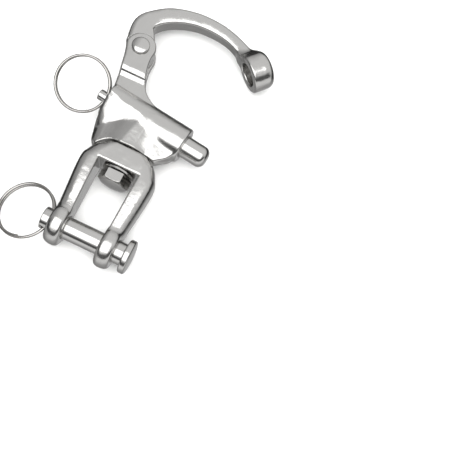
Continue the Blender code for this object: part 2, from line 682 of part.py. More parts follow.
CLEVIS_RING_PLACE = frame(
    Vector((PIN_RING_BOW * math.cos(CLEVIS_RING_DROOP) - PIN_HOLE, -JAW_LENGTH,
            PIN_RING_BOW * math.sin(CLEVIS_RING_DROOP))),
    Vector((-math.sin(CLEVIS_RING_DROOP), 0.0, math.cos(CLEVIS_RING_DROOP))),
    Vector((0.0, -1.0, 0.0)))

make_body()
make_hook()
make_rivet()
make_plunger()
make_spring()
make_ring("plunger_ring", PLUNGER_RING_PLACE, PLUNGER_RING_TURNS, PLUNGER_RING_ENDS)
make_bolt()
make_washer()
make_jaw()
make_pin()
make_ring("clevis_ring", CLEVIS_RING_PLACE, CLEVIS_RING_TURNS, CLEVIS_RING_ENDS)
stand_on_origin()
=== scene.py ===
# %% [markdown]
# # A jaw-end swivel snap shackle in polished stainless steel
# The real one is a handful of investment-cast pieces (body, hook, jaw), a few turned pins and
# some bent wire, all of them bare 316 stainless steel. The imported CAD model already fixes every
# size, place and joint. This lesson loads it, makes a finer surface for each piece in the same
# place, gives it the metal that it is made of, and lights it as a small product on a pale table.

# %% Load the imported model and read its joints
import json
import math

import bpy
import numpy as np
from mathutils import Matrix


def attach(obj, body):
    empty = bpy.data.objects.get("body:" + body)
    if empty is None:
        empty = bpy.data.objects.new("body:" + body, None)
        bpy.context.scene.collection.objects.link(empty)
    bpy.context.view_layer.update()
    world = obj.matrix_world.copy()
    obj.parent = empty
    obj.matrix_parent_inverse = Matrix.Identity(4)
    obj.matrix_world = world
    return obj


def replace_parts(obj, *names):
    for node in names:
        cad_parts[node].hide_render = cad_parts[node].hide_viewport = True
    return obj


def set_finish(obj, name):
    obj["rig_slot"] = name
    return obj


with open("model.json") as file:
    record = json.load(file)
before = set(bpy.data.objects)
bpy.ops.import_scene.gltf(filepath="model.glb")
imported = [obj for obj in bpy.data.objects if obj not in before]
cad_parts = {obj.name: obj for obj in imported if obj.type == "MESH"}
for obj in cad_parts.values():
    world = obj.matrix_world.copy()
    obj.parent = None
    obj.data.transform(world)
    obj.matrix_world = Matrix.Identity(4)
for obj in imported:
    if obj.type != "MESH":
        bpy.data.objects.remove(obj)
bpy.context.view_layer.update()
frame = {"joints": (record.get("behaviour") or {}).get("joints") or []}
joints = {joint["name"]: joint for joint in frame["joints"]}
MM = 0.001

along = -np.array(joints["plunger_pull"]["axis"])       # the way the plunger's tip points
across = np.array([-along[1], along[0], 0.0])
up = np.array([0.0, 0.0, 1.0])
rivet_world = np.array(joints["hook_hinge"]["pos_m"]) / MM
swivel_world = np.array(joints["jaw_swivel"]["pos_m"]) / MM
tail_world = np.array(joints["plunger_ring_swing"]["pos_m"]) / MM
pin_world = np.array(joints["clevis_pin_turn"]["pos_m"]) / MM
ring_world = np.array(joints["clevis_ring_swing"]["pos_m"]) / MM

# Every shape below is worked out in millimetres from the point where the swivel axis
# crosses the plunger axis.
centre = tail_world + along * (swivel_world[0] - tail_world[0]) / along[0]
rivet = rivet_world - centre
pin_y = pin_world[1] - centre[1]
plunger_hole = float(np.dot(centre - tail_world, along))
pin_hole = centre[0] - ring_world[0]
print("layout centre in mm:", centre.round(3), "rivet", rivet.round(3), "pin", round(pin_y, 2))

# %% [markdown]
# ## From a formula to a mesh
# A cast piece is all soft blends: a barrel runs into a web, the web into a neck, and no edge is
# sharp. One grid over two parameters can't follow that, and joining grids leaves seams. So each
# cast piece is written as a distance: a formula that is below zero inside the metal. Joining two
# shapes is then a minimum, cutting is a maximum, and rounding that corner gives the cast fillet.
# A surface net turns the formula into a mesh: one point in each little cube that the surface
# crosses, and one four-sided face for each cube edge that it crosses.

# %% Smooth joins and cuts
def join(a, b, fillet):
    """The smaller of two distances, with the inner corner filled over the width fillet."""
    near = np.maximum(fillet - np.abs(a - b), 0.0) / fillet
    return np.minimum(a, b) - near * near * fillet / 4


def cut(a, b, rounding):
    """The larger of two distances, with the outer corner rounded over the width rounding."""
    return -join(-a, -b, rounding)


def fade(value, low, high):
    """0 below low, 1 above high, and 3t^2 - 2t^3 between them."""
    t = np.clip((value - low) / (high - low), 0.0, 1.0)
    return t * t * (3 - 2 * t)


# %% Plane outlines and paths
def curve(points, count):
    """A Catmull-Rom curve through rows of numbers, with count steps a span."""
    rows = np.array(points, float)
    rows = np.vstack([2 * rows[0] - rows[1], rows, 2 * rows[-1] - rows[-2]])
    t = (np.arange(count) / count)[:, None]
    spans = [0.5 * (2 * b + (c - a) * t + (2 * a - 5 * b + 4 * c - d) * t ** 2
                    + (3 * b - a - 3 * c + d) * t ** 3)
             for a, b, c, d in zip(rows, rows[1:], rows[2:], rows[3:])]
    return np.vstack(spans + [rows[-2:-1]])


def outline(x, y, corners):
    """Distance to a closed outline in the plane: least distance to an edge, below zero inside."""
    best = np.full(np.broadcast(x, y).shape, 1e9)
    inside = np.zeros(best.shape, bool)
    for (ax, ay), (bx, by) in zip(corners, np.roll(corners, -1, axis=0)):
        ex, ey = bx - ax, by - ay
        t = np.clip(((x - ax) * ex + (y - ay) * ey) / (ex * ex + ey * ey + 1e-12), 0.0, 1.0)
        best = np.minimum(best, (x - ax - t * ex) ** 2 + (y - ay - t * ey) ** 2)
        if ey != 0.0:
            inside ^= ((ay > y) != (by > y)) & (x < ex * (y - ay) / ey + ax)
    return np.sqrt(best) * np.where(inside, -1.0, 1.0)


def nearest(x, y, path):
    """Nearest place on a plane path: how far along it, as a share, and how far to its left."""
    best = np.full(np.broadcast(x, y).shape, 1e9)
    share = np.zeros(best.shape)
    side = np.zeros(best.shape)
    spans = len(path) - 1
    for i in range(spans):
        (ax, ay), (bx, by) = path[i], path[i + 1]
        ex, ey = bx - ax, by - ay
        t = np.clip(((x - ax) * ex + (y - ay) * ey) / (ex * ex + ey * ey), 0.0, 1.0)
        dx, dy = x - ax - t * ex, y - ay - t * ey
        square = dx * dx + dy * dy
        closer = square < best
        best = np.where(closer, square, best)
        share = np.where(closer, (i + t) / spans, share)
        side = np.where(closer, np.sign(ex * dy - ey * dx), side)
    return share, np.sqrt(best) * side


# %% The surface net
def net_points(field):
    """For each cube that the surface crosses: the mean of the crossings on its twelve edges."""
    cells = tuple(n - 1 for n in field.shape)
    total = np.zeros(cells + (3,), np.float32)
    count = np.zeros(cells, np.float32)
    for axis in range(3):
        u, v = (axis + 1) % 3, (axis + 2) % 3
        a = np.moveaxis(field, (axis, u, v), (0, 1, 2))
        crossed = (a[:-1] < 0) != (a[1:] < 0)
        t = np.where(crossed, a[:-1] / np.where(crossed, a[:-1] - a[1:], 1.0), 0.0)
        view = np.moveaxis(total, (axis, u, v), (0, 1, 2))
        tally = np.moveaxis(count, (axis, u, v), (0, 1, 2))
        for i in (0, 1):
            for j in (0, 1):
                rows = slice(i, i + cells[u])
                columns = slice(j, j + cells[v])
                hit = crossed[:, rows, columns]
                view[..., axis] += t[:, rows, columns]
                view[..., u] += i * hit
                view[..., v] += j * hit
                tally += hit
    return total, count


def net_faces(field, index):
    """One face round each grid edge that the surface crosses, turned to look out of the metal."""
    faces = []
    for axis in range(3):
        u, v = (axis + 1) % 3, (axis + 2) % 3
        a = np.moveaxis(field, (axis, u, v), (0, 1, 2))
        cell = np.moveaxis(index, (axis, u, v), (0, 1, 2))
        leaving = (a[:-1, 1:-1, 1:-1] < 0) & (a[1:, 1:-1, 1:-1] >= 0)
        entering = (a[:-1, 1:-1, 1:-1] >= 0) & (a[1:, 1:-1, 1:-1] < 0)
        ring = np.stack([cell[:, :-1, :-1], cell[:, 1:, :-1], cell[:, 1:, 1:], cell[:, :-1, 1:]],
                        axis=-1)
        faces += [ring[leaving], ring[entering][:, ::-1]]
    return np.vstack(faces)


def cast_mesh(distance, low, high, step):
    """Mesh of distance(x, y, z) = 0: a surface net, then three steps down the slope to zero."""
    axes = [np.arange(a - 1.5 * step, b + 2.5 * step, step) for a, b in zip(low, high)]
    field = distance(axes[0][:, None, None], axes[1][None, :, None], axes[2][None, None, :])
    field = field.astype(np.float32)
    total, count = net_points(field)
    used = count > 0
    index = np.full(count.shape, -1, np.int64)
    index[used] = np.arange(used.sum())
    points = np.argwhere(used) + total[used] / count[used][:, None]
    points = points * step + np.array([axis[0] for axis in axes])
    for _ in range(3):
        value = distance(*points.T)
        slope = np.stack([(distance(*(points + e).T) - distance(*(points - e).T)) / 0.04
                          for e in np.eye(3) * 0.02], axis=1)
        steep = np.maximum((slope ** 2).sum(axis=1), 0.2)
        move = -slope * (value / steep)[:, None]
        points = points + np.clip(move, -step / 2, step / 2)
    return points, net_faces(field, index)


# %% Put a mesh into the scene on its CAD body
pieces = {}


def add_piece(name, points, faces, body, slot, sharp=35.0):
    """A mesh from points in mm; faces is a list of arrays of equal-sided faces."""
    mesh = bpy.data.meshes.new(name)
    places = ((np.asarray(points) + centre) * MM).astype(np.float32)
    groups = [np.asarray(group, np.int32) for group in faces]
    sizes = np.concatenate([np.full(len(group), group.shape[1], np.int32) for group in groups])
    corners = np.concatenate([group.ravel() for group in groups])
    mesh.vertices.add(len(places))
    mesh.vertices.foreach_set("co", places.ravel())
    mesh.loops.add(len(corners))
    mesh.loops.foreach_set("vertex_index", corners)
    mesh.polygons.add(len(sizes))
    mesh.polygons.foreach_set("loop_start", np.concatenate([[0], np.cumsum(sizes)[:-1]]))
    mesh.polygons.foreach_set("loop_total", sizes)
    mesh.update(calc_edges=True)
    mesh.validate()
    mesh.shade_smooth()
    mesh.set_sharp_from_angle(angle=math.radians(sharp))
    piece = bpy.data.objects.new(name, mesh)
    bpy.context.scene.collection.objects.link(piece)
    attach(piece, body)
    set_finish(piece, slot)
    pieces[name] = piece
    size = (places.max(axis=0) - places.min(axis=0)) / MM
    print(f"{name}: {len(sizes)} faces, {size.round(1)} mm")
    return piece


# %% [markdown]
# ## The cast body
# On the real one a thick round barrel holds the plunger. Under it the metal narrows to a web with
# a ridge down its middle, where the swivel bolt is screwed in, and above it a neck steps out into
# two ears for the hook. The left flank falls away in a slanting facet to the thin edge of the web,
# and the right flank is hollowed, which bares the barrel's round underside. Each of these is one
# line below, and the width of each join is the fillet that the casting shows.

# %% Body
PLUNGER_R = 4.0
TAIL_R = 2.0
RUN_GAP = 0.2
BARREL_R = 6.7
BARREL_FRONT = 16.5
BARREL_BACK = 16.0
SPRING_SEAT = 12.5          # inside of the barrel's back wall
FLANK_LEAN = math.radians(27.0)   # slant of the left flank, from the barrel down to the web
FLANK_DEPTH = 6.29          # distance of that slant from the barrel's axis
FLANK_RISE = 0.7
FLANK_BOW = 0.005
BODY_DEPTH = 12.8
WEB_HALF = 3.0
RIDGE_HEIGHT = 6.3
RIDGE_X = 1.6               # where the ridge meets the barrel, right of the swivel's axis
RIDGE_DRIFT = 0.13          # how far it wanders to the left for each mm down
RIGHT_SLOPE = 0.6           # of the facet between ridge and hollow
HOLLOW_SLOPE = 0.19         # of the hollow's floor, near the ridge
FOOT_R = 6.3
JOGGLE = 12.5               # height at which the neck's steep step starts
JOGGLE_STEEP = 0.6
OVER_CROWN = 7.3            # radius past which the web reaches down beside the jaw's crown
BOLT_R = 3.0
BOLT_END = 6.0
NECK_HALF = 4.2
EAR_HALF = 5.7
EAR_R = 5.6
TANG_HALF = 2.6
TANG_R = 5.2
FACE_GAP = 0.3
SLOT_FLOOR = 15.4
RIVET_SHANK_R = 2.0

WEB = curve([(-15.3, 1.0), (-15.6, -3.0), (-15.2, -7.2), (-14.4, -11.2), (-13.5, -14.4),
             (-12.1, -16.0), (-10.6, -15.2)], 6)
WEB = np.vstack([WEB, curve([(6.0, -13.4), (8.9, -13.0), (11.4, -11.6), (13.9, -9.3),
                             (14.7, -6.4), (14.9, -3.0), (15.2, 1.0)], 6)])
EAR = [(rivet[0] + EAR_R * math.cos(a), rivet[1] + EAR_R * math.sin(a))
       for a in np.linspace(0.0, math.pi, 25)]
NECK = np.vstack([
    EAR[:-1],
    curve([(rivet[0] - EAR_R, rivet[1]), (-18.25, 20.0), (-17.4, 16.4), (-16.5, 11.6),
           (-15.7, 6.0)], 6),
    [(-9.0, 0.0), (6.0, 0.0)],
    curve([(6.0, 4.4), (3.1, 5.0), (-1.3, 6.8), (-4.8, 9.8), (-7.3, 15.1), (-8.4, 20.3),
           (rivet[0] + EAR_R, rivet[1])], 6)[:-1]])


def flank(x, y, z):
    """The slanting plane of the left flank: it moves out of the barrel towards the right, and
    bows back a little towards the left."""
    n = x * across[0] + y * across[1]
    t = x * along[0] + y * along[1]
    plane = np.abs(z) * math.cos(FLANK_LEAN) - n * math.sin(FLANK_LEAN) - FLANK_DEPTH
    bow = FLANK_BOW * np.minimum(t + 2.0, 0.0) ** 2
    return plane - FLANK_RISE * fade(t, -3.5, 2.5) + bow


def barrel(x, y, z):
    """A round bar with rounded ends, planed off by the left flank."""
    t = x * along[0] + y * along[1]
    n = x * across[0] + y * across[1]
    round_bar = np.hypot(n, z) - BARREL_R
    ends = np.abs(t - (BARREL_FRONT - BARREL_BACK) / 2) - (BARREL_FRONT + BARREL_BACK) / 2
    return cut(cut(round_bar, flank(x, y, z), 0.3), ends, 0.9)


def web(x, y, z):
    """A plate with two slanting facets at its left, a ridge, and a hollow at its right."""
    flat = outline(x, y, WEB)
    off_ridge = x - RIDGE_X - RIDGE_DRIFT * y
    apex = RIDGE_HEIGHT + 0.3 + 0.02 * y
    left = (np.abs(z) - apex - 0.1 * off_ridge + 0.022 * off_ridge ** 2) * 0.93
    right = (np.abs(z) - apex + RIGHT_SLOPE * off_ridge) / math.hypot(1.0, RIGHT_SLOPE)
    crest = np.abs(z) - RIDGE_HEIGHT - 0.045 * y
    facets = cut(cut(left, right, 0.1), crest, 0.15)
    slope = cut(cut(flank(x, y, z), off_ridge, 0.4), crest, 0.6)
    facets = cut(join(facets, slope, 0.4), flat, 1.0)
    steep = HOLLOW_SLOPE - 0.08 * fade(off_ridge, 3.0, 8.0)
    tilt = steep * (y + BODY_DEPTH) * fade(off_ridge, 0.0, 4.0)
    plate = cut((np.abs(z) - WEB_HALF - tilt) * 0.98, flat, 1.2 + 2.6 * fade(-x, 8.0, 13.0))
    shape = join(facets, plate, 3.0)
    foot_r = FOOT_R - 1.1 * (y + BODY_DEPTH)
    foot = cut(np.hypot(x, z) - foot_r, -y - BODY_DEPTH, 0.4) * 0.7
    shape = join(shape, foot, 1.0)
    over_crown = 0.15 * np.maximum(np.hypot(x, z) - OVER_CROWN, 0.0) ** 2
    return cut(shape, -y - BODY_DEPTH - over_crown, 0.6)


def body_distance(x, y, z):
    """Barrel, web and neck joined with cast fillets, less the bores and the hook's slot."""
    step_up = 0.26 * (fade(y, JOGGLE - 1.9, JOGGLE + 0.1) + fade(y, JOGGLE + 0.5, JOGGLE + 2.5))
    step_up = step_up + 0.48 * np.clip((y - JOGGLE) / JOGGLE_STEEP, 0.0, 1.0)
    thick = NECK_HALF + (EAR_HALF - NECK_HALF) * step_up
    fork = cut(outline(x, y, NECK), (np.abs(z) - thick) * 0.94, 0.9)
    t = x * along[0] + y * along[1]
    n = x * across[0] + y * across[1]
    solid = join(barrel(x, y, z), web(x, y, z), 1.0)
    solid = join(cut(solid, -t - BARREL_BACK, 0.4), fork, 0.25)
    bore = np.hypot(n, z)
    plunger_bore = cut(bore - PLUNGER_R - RUN_GAP, -SPRING_SEAT - t, 0.2)
    tail_bore = cut(bore - TAIL_R - RUN_GAP, t, 0.2)
    bolt_bore = cut(np.hypot(x, z) - BOLT_R - RUN_GAP, y + BOLT_END - FACE_GAP, 0.2)
    rivet_bore = np.hypot(x - rivet[0], y - rivet[1]) - RIVET_SHANK_R - RUN_GAP
    slot = cut(np.abs(z) - TANG_HALF - FACE_GAP, SLOT_FLOOR - y, 0.3)
    for hole, edge in ((plunger_bore, 0.7), (tail_bore, 0.5), (bolt_bore, 0.3), (rivet_bore, 0.3),
                       (slot, 0.5)):
        solid = cut(solid, -hole, edge)
    return solid


NET_STEP = 0.27             # mm; the finest edge of a casting is about two steps wide
CAST_SHARP = 60.0           # degrees; only the edges of bores and slots stay crisp
body_mesh = cast_mesh(body_distance, (-20.0, -17.0, -7.0), (17.2, 30.0, 7.0), NET_STEP)
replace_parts(add_piece("body_casting", body_mesh[0], [body_mesh[1]], "body", "cast_steel",
                      CAST_SHARP), "cast_body")

# %% [markdown]
# ## The hook
# The hook is one casting too: a bar whose section shrinks from root to tip, with a broad flat
# face, a ground chamfer along its inner edge and a softer outer edge. A profile carried along a
# path would do for the bar, but not for the way it swells into the eye, so it is a distance again:
# how far a point is to the side of the bar's middle line, and how far above it.

# %% Hook
HOOK_OPEN = math.radians(55.7)
EYE_R = 7.25
EYE_BORE_R = 4.45
EYE_HALF = 3.5
SHANK_HALF = 3.6            # half the length of the link between tang and arm
EYE_NOSE = 1.6              # how far the eye's rounded front stands past its flat width
ROOT_ANGLE = math.radians(62.0)
CREST = 9.0                 # height of the arm's middle line above the rivet
INNER_LEAN = math.radians(25.0)   # slant of the band along the arm's inner edge
INNER_BAND = 1.3
OUTER_CHAMFER = 0.8
eye = along * (BARREL_FRONT + FACE_GAP + EYE_HALF) - rivet
drop = CREST - eye[1]
# Shares of the way from rivet to eye and of the height from eye to crest, width, depth
ARM = [(0.18, 0.986, 8.2, 7.6), (0.33, 1.0, 6.8, 7.4), (0.52, 0.941, 6.3, 7.2),
       (0.72, 0.796, 5.6, 6.8), (0.87, 0.604, 5.2, 6.4), (0.96, 0.401, 4.9, 6.0)]
stations = [(SHANK_HALF * math.cos(ROOT_ANGLE), SHANK_HALF * math.sin(ROOT_ANGLE), 10.6, 7.6)]
stations += [(eye[0] * way, eye[1] + drop * height, w, d) for way, height, w, d in ARM]
stations += [(eye[0], eye[1] + 5.85, 5.4, 6.2)]
arm_line = curve(stations, 6)
shares = np.linspace(0.0, 1.0, len(arm_line))


def hook_distance(x, y, z):
    """The closed hook about its rivet: chamfered arm and round eye, hollowed for the ear."""
    share, side = nearest(x, y, arm_line[:, :2])
    half_w = np.interp(share, shares, arm_line[:, 2]) / 2
    half_d = np.interp(share, shares, arm_line[:, 3]) / 2
    high = np.abs(z) - half_d
    arm = cut(np.abs(side) - half_w, high, 0.5)
    inner = (INNER_BAND - side - half_w) * math.sin(INNER_LEAN) + high * math.cos(INNER_LEAN)
    outer = (side - half_w + high + OUTER_CHAMFER) / math.sqrt(2)
    arm = cut(cut(arm, inner, 0.7), outer, 0.9)
    t = (x - eye[0]) * along[0] + (y - eye[1]) * along[1]
    n = (x - eye[0]) * across[0] + (y - eye[1]) * across[1]
    r = np.hypot(n, z)
    ring = cut(cut(r - EYE_R, -t - EYE_HALF, 0.7), t - EYE_HALF - EYE_NOSE, 3.6)
    solid = join(arm, ring, 2.6)
    solid = cut(solid, EYE_BORE_R - r, 0.6)
    reach = np.hypot(x, y)
    solid = cut(solid, EAR_R + FACE_GAP - reach, 0.4)
    toward = x * math.cos(ROOT_ANGLE) + y * math.sin(ROOT_ANGLE)
    aside = -x * math.sin(ROOT_ANGLE) + y * math.cos(ROOT_ANGLE)
    link = cut(np.abs(aside) - 4.3, np.abs(toward - SHANK_HALF) - SHANK_HALF, 0.3)
    tang = cut(join(reach - TANG_R, link, 0.6), np.abs(z) - TANG_HALF, 0.3)
    solid = join(solid, tang, 0.3)
    return cut(solid, RIVET_SHANK_R + RUN_GAP - reach, 0.3)


points, quads = cast_mesh(hook_distance, (-6.4, -36.0, -7.4), (40.0, 14.0, 7.4), NET_STEP)
turn = np.array([[math.cos(HOOK_OPEN), -math.sin(HOOK_OPEN), 0.0],
                 [math.sin(HOOK_OPEN), math.cos(HOOK_OPEN), 0.0], [0.0, 0.0, 1.0]])
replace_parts(add_piece("hook_casting", points @ turn.T + rivet, [quads], "hook", "cast_steel",
                      CAST_SHARP), "hook")

# %% [markdown]
# ## The jaw
# The jaw is a thick arch with two legs. Outside it is rounded like a bent bar, inside it is a
# plain straight window, and each leg ends in a bead, a fat round button bored for the pin. The
# crown's big outer rounding and the crisp inner edge are the two different cut widths below.

# %% Jaw
CROWN_TOP = 13.1
CROWN_UNDER = 21.3
JAW_HALF = 6.3
GAP_HALF = 6.65
BEAD_HALF = 3.1
LEG_END = 45.5
BEAD_R = 7.5
BEAD_DISH = 0.65            # leaves room for the split ring beside the bead
PIN_R = 4.0
bead_x = GAP_HALF + BEAD_HALF

half_outer = curve([(7.1, -CROWN_TOP), (10.6, -15.0), (13.2, -19.2), (14.1, -24.0), (12.7, -41.5)], 6)
half_outer = np.vstack([half_outer, [(12.3, -LEG_END)]])
JAW_OUTER = np.vstack([half_outer, half_outer[::-1] * (-1.0, 1.0)])
WINDOW = np.array([(7.65, -CROWN_UNDER), (6.9, -46.0), (6.9, -60.0), (-6.9, -60.0), (-6.9, -46.0),
                   (-7.65, -CROWN_UNDER)])


def jaw_distance(x, y, z):
    """A rounded arch less its window, joined to two beads, less the pin's and bolt's bores. The
    arch is roundest at its shoulders and crisper where it meets the body and along its legs."""
    thin = 1.0 * fade(-y, 24.0, 44.0)
    roundness = 2.4 + 3.2 * fade(np.abs(x), 4.0, 9.0) - 1.2 * fade(-y, 17.0, 24.0)
    arch = cut(outline(x, y, JAW_OUTER), np.abs(z) - JAW_HALF + thin, roundness)
    arch = cut(arch, -outline(x, y, WINDOW), 0.8)
    arch = cut(arch, -y - LEG_END, 0.4)
    u = np.abs(x) - bead_x
    rho = np.hypot(y - pin_y, z)
    dished = u - BEAD_HALF + BEAD_DISH * fade(6.8 - rho, 0.0, 2.2)
    bead = cut(cut(rho - BEAD_R, dished, 3.6), -u - BEAD_HALF, 2.2)
    solid = join(arch, bead, 0.7)
    solid = cut(solid, PIN_R + RUN_GAP - rho, 0.7)
    return cut(solid, BOLT_R + RUN_GAP - np.hypot(x, z), 0.4)


jaw_mesh = cast_mesh(jaw_distance, (-14.6, -55.2, -7.5), (14.6, -12.9, 7.5), NET_STEP)
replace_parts(add_piece("jaw_casting", jaw_mesh[0], [jaw_mesh[1]], "jaw", "cast_steel",
                      CAST_SHARP), "jaw")

# %% [markdown]
# ## Turned pieces
# Pins, plunger, rivet and washer come off a lathe, so each is a profile of radius against height,
# carried round its axis. The cross holes for the split rings are drilled afterwards with a
# Boolean, as on the bench. The bolt's head is the same grid with one more rule: the radius is
# never more than that of the hexagon, which gives the curved chamfer of a real bolt head.

# %% Turn a profile
def place(grid, origin, axis, side):
    """Points given as (out, aside, height) moved to an origin, with height along axis."""
    axis = np.asarray(axis, float)
    side = np.asarray(side, float)
    third = np.cross(axis, side)
    return (np.asarray(origin) + grid[..., 0:1] * side + grid[..., 1:2] * third
            + grid[..., 2:3] * axis)


def turned(profile, origin, axis, side, count=96, hexagon=None):
    """A solid of revolution: x = r cos a, y = r sin a; r is held inside the hexagon's half width
    over cos of the angle from the nearest flat, if one is given."""
    rows = np.array(profile, float)
    angles = np.arange(count) * 2 * math.pi / count
    radii = np.repeat(rows[:, :1], count, axis=1)
    if hexagon:
        from_flat = (angles + math.pi / 6) % (math.pi / 3) - math.pi / 6
        radii = np.minimum(radii, hexagon / np.cos(from_flat))
    grid = np.stack([radii * np.cos(angles), radii * np.sin(angles),
                     np.repeat(rows[:, 1:], count, axis=1)], axis=-1)
    points = place(grid.reshape(-1, 3), origin, axis, side)
    rings = len(rows)
    i = np.arange(rings - 1)[:, None] * count
    j = np.arange(count)[None, :]
    k = (j + 1) % count
    quads = np.stack([i + j, i + count + j, i + count + k, i + k], axis=-1).reshape(-1, 4)
    top = np.mean(points[:count], axis=0)
    bottom = np.mean(points[-count:], axis=0)
    points = np.vstack([points, top, bottom])
    first = np.arange(count)
    after = (first + 1) % count
    last = (rings - 1) * count
    caps = np.vstack([
        np.stack([first, after, np.full(count, rings * count)], axis=-1),
        np.stack([after + last, first + last, np.full(count, rings * count + 1)], axis=-1)])
    return points, [quads, caps]


def rounded(corners, radius, steps=4):
    """A profile whose corners are replaced by short arcs of about that radius."""
    rows = np.array(corners, float)
    out = [rows[0]]
    for a, b, c in zip(rows, rows[1:], rows[2:]):
        back = (a - b) / np.linalg.norm(a - b) * min(radius, np.linalg.norm(a - b) / 2.1)
        ahead = (c - b) / np.linalg.norm(c - b) * min(radius, np.linalg.norm(c - b) / 2.1)
        for t in np.linspace(0.0, 1.0, steps + 1):
            out.append(b + back * (1 - t) ** 2 + ahead * t ** 2)
    out.append(rows[-1])
    return np.array(out)


def drill(piece, origin, axis, side, radius, reach):
    """Cut a round hole through a finished piece and keep the result as its mesh."""
    points, faces = turned([(radius, reach), (radius, -reach)], origin, axis, side, 32)
    bit = add_piece("drill", points, faces, "body", "cast_steel")
    step = piece.modifiers.new("drill", "BOOLEAN")
    step.operation = "DIFFERENCE"
    step.object = bit
    bpy.context.view_layer.update()
    graph = bpy.context.evaluated_depsgraph_get()
    mesh = bpy.data.meshes.new_from_object(piece.evaluated_get(graph))
    piece.modifiers.clear()
    piece.data = mesh
    mesh.set_sharp_from_angle(angle=math.radians(35.0))
    del pieces["drill"]
    bpy.data.objects.remove(bit)


# %% Plunger
PLUNGER_TIP = 25.8
TAIL_END = 19.9
SHOULDER = 4.0
nose = [(PLUNGER_R - 2.6 * (1 - math.cos(a)), PLUNGER_TIP - 2.6 * (1 - math.sin(a)))
        for a in np.linspace(math.pi / 2, 0.0, 14)]
tail = rounded([(PLUNGER_R, SHOULDER + 1.0), (PLUNGER_R, SHOULDER), (TAIL_R, SHOULDER),
                (TAIL_R, -TAIL_END + 0.2), (TAIL_R - 0.6, -TAIL_END), (0.0, -TAIL_END)], 0.25)
profile = np.vstack([[(0.01, PLUNGER_TIP)], nose, tail[:-1]])
points, faces = turned(profile, (0, 0, 0), along, up)
plunger = add_piece("locking_plunger", points, faces, "plunger", "turned_steel")
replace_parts(plunger, "plunger")
swing = np.array(joints["plunger_ring_swing"]["axis"])
RING_HOLE_R = 1.35
drill(plunger, -along * plunger_hole, swing, along, RING_HOLE_R, 2 * TAIL_R)

# %% Hook rivet and washer
RIVET_HEAD_R = 3.3
seat = EAR_HALF + RUN_GAP
dome = [(RIVET_HEAD_R * math.sin(a), seat + 0.35 + 1.0 * math.cos(a))
        for a in np.linspace(0.0, math.pi / 2 - 0.02, 16)]
dome[0] = (0.01, dome[0][1])
half = dome + [(RIVET_HEAD_R, seat + 0.3), (RIVET_HEAD_R - 0.1, seat), (RIVET_SHANK_R, seat)]
profile = half + [(r, -h) for r, h in half[::-1]]
points, faces = turned(profile, rivet, up, along, 64)
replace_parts(add_piece("hinge_rivet", points, faces, "body", "turned_steel"), "hook_rivet")

WASHER_R = 6.0
WASHER_TOP = CROWN_UNDER + FACE_GAP
WASHER_T = 0.9
down = np.array([0.0, -1.0, 0.0])
WASHER_END = WASHER_TOP + WASHER_T
rim = [(WASHER_R - 0.15, WASHER_END), (WASHER_R, WASHER_END - 0.15),
       (WASHER_R, WASHER_TOP + 0.15), (WASHER_R - 0.15, WASHER_TOP)]
points, faces = turned([(0.01, WASHER_END)] + rim + [(0.01, WASHER_TOP)], (0, 0, 0), down, up, 64)
washer = add_piece("plain_washer", points, faces, "body", "turned_steel")
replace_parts(washer, "bolt_washer")
drill(washer, (0, -WASHER_TOP, 0), down, up, BOLT_R + RUN_GAP, 4.0)

# %% Hexagon bolt
HEAD_SEAT = 22.8
HEAD_H = 4.0
HEX_HALF = 5.0
HEX_CORNER = HEX_HALF / math.cos(math.pi / 6)
FACE_R = 4.6                # where the head's domed end meets its chamfer
FACE_DOME = 0.7
slope = math.tan(math.radians(30.0))
chamfer = [(r, HEAD_SEAT + HEAD_H - (r - FACE_R) * slope)
           for r in np.linspace(FACE_R, HEX_CORNER + 0.02, 12)]
end_face = [(r, HEAD_SEAT + HEAD_H + FACE_DOME * (1 - (r / FACE_R) ** 2))
            for r in np.linspace(0.01, FACE_R - 0.3, 9)]
head = end_face + chamfer
head += [(HEX_CORNER, HEAD_SEAT + 0.1), (HEX_CORNER - 0.15, HEAD_SEAT), (BOLT_R + 0.3, HEAD_SEAT)]
shank = [(BOLT_R, HEAD_SEAT - 0.3), (BOLT_R, BOLT_END + 0.5), (BOLT_R - 0.5, BOLT_END),
         (0.01, BOLT_END)]
points, faces = turned(head + shank, (0, 0, 0), down, up, 144, hexagon=HEX_HALF)
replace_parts(add_piece("hexagon_bolt", points, faces, "body", "turned_steel", sharp=25.0),
            "swivel_bolt")

# %% Clevis pin
PIN_HEAD_R = 6.15
PIN_UNDER = GAP_HALF + 2 * BEAD_HALF + 2.6
PIN_TOP = PIN_UNDER + 2.9
PIN_TIP = GAP_HALF + 2 * BEAD_HALF + 2.5
PIN_CROWN = 1.1
crown = [(PIN_HEAD_R * math.sin(a), PIN_TOP - PIN_CROWN + PIN_CROWN * math.cos(a) ** 0.6)
         for a in np.linspace(0.0, math.pi / 2 - 0.05, 14)]
crown[0] = (0.01, PIN_TOP)
rim = rounded([(PIN_HEAD_R, PIN_TOP - 1.15), (PIN_HEAD_R, PIN_UNDER),
               (PIN_R + 0.4, PIN_UNDER)], 1.1, 8)
shank = rounded([(PIN_R + 0.4, PIN_UNDER), (PIN_R, PIN_UNDER), (PIN_R, -PIN_TIP + 0.1),
                 (PIN_R - 0.7, -PIN_TIP), (0.01, -PIN_TIP)], 0.35)
points, faces = turned(np.vstack([crown, rim, shank[1:]]), (0, pin_y, 0), (1, 0, 0), up)
pin = add_piece("clevis_pin_turned", points, faces, "clevis_pin", "turned_steel")
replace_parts(pin, "clevis_pin")
drill(pin, (-pin_hole, pin_y, 0), (0, 1, 0), up, RING_HOLE_R, 7.0)

# %% [markdown]
# ## Wire pieces
# A split ring is two turns of hard round wire that lie on each other, and a compression spring is
# the same wire wound with a pitch. Both are one circle carried along a helix: the frame for the
# circle is the direction away from the coil's axis and the axis itself, so nothing twists.

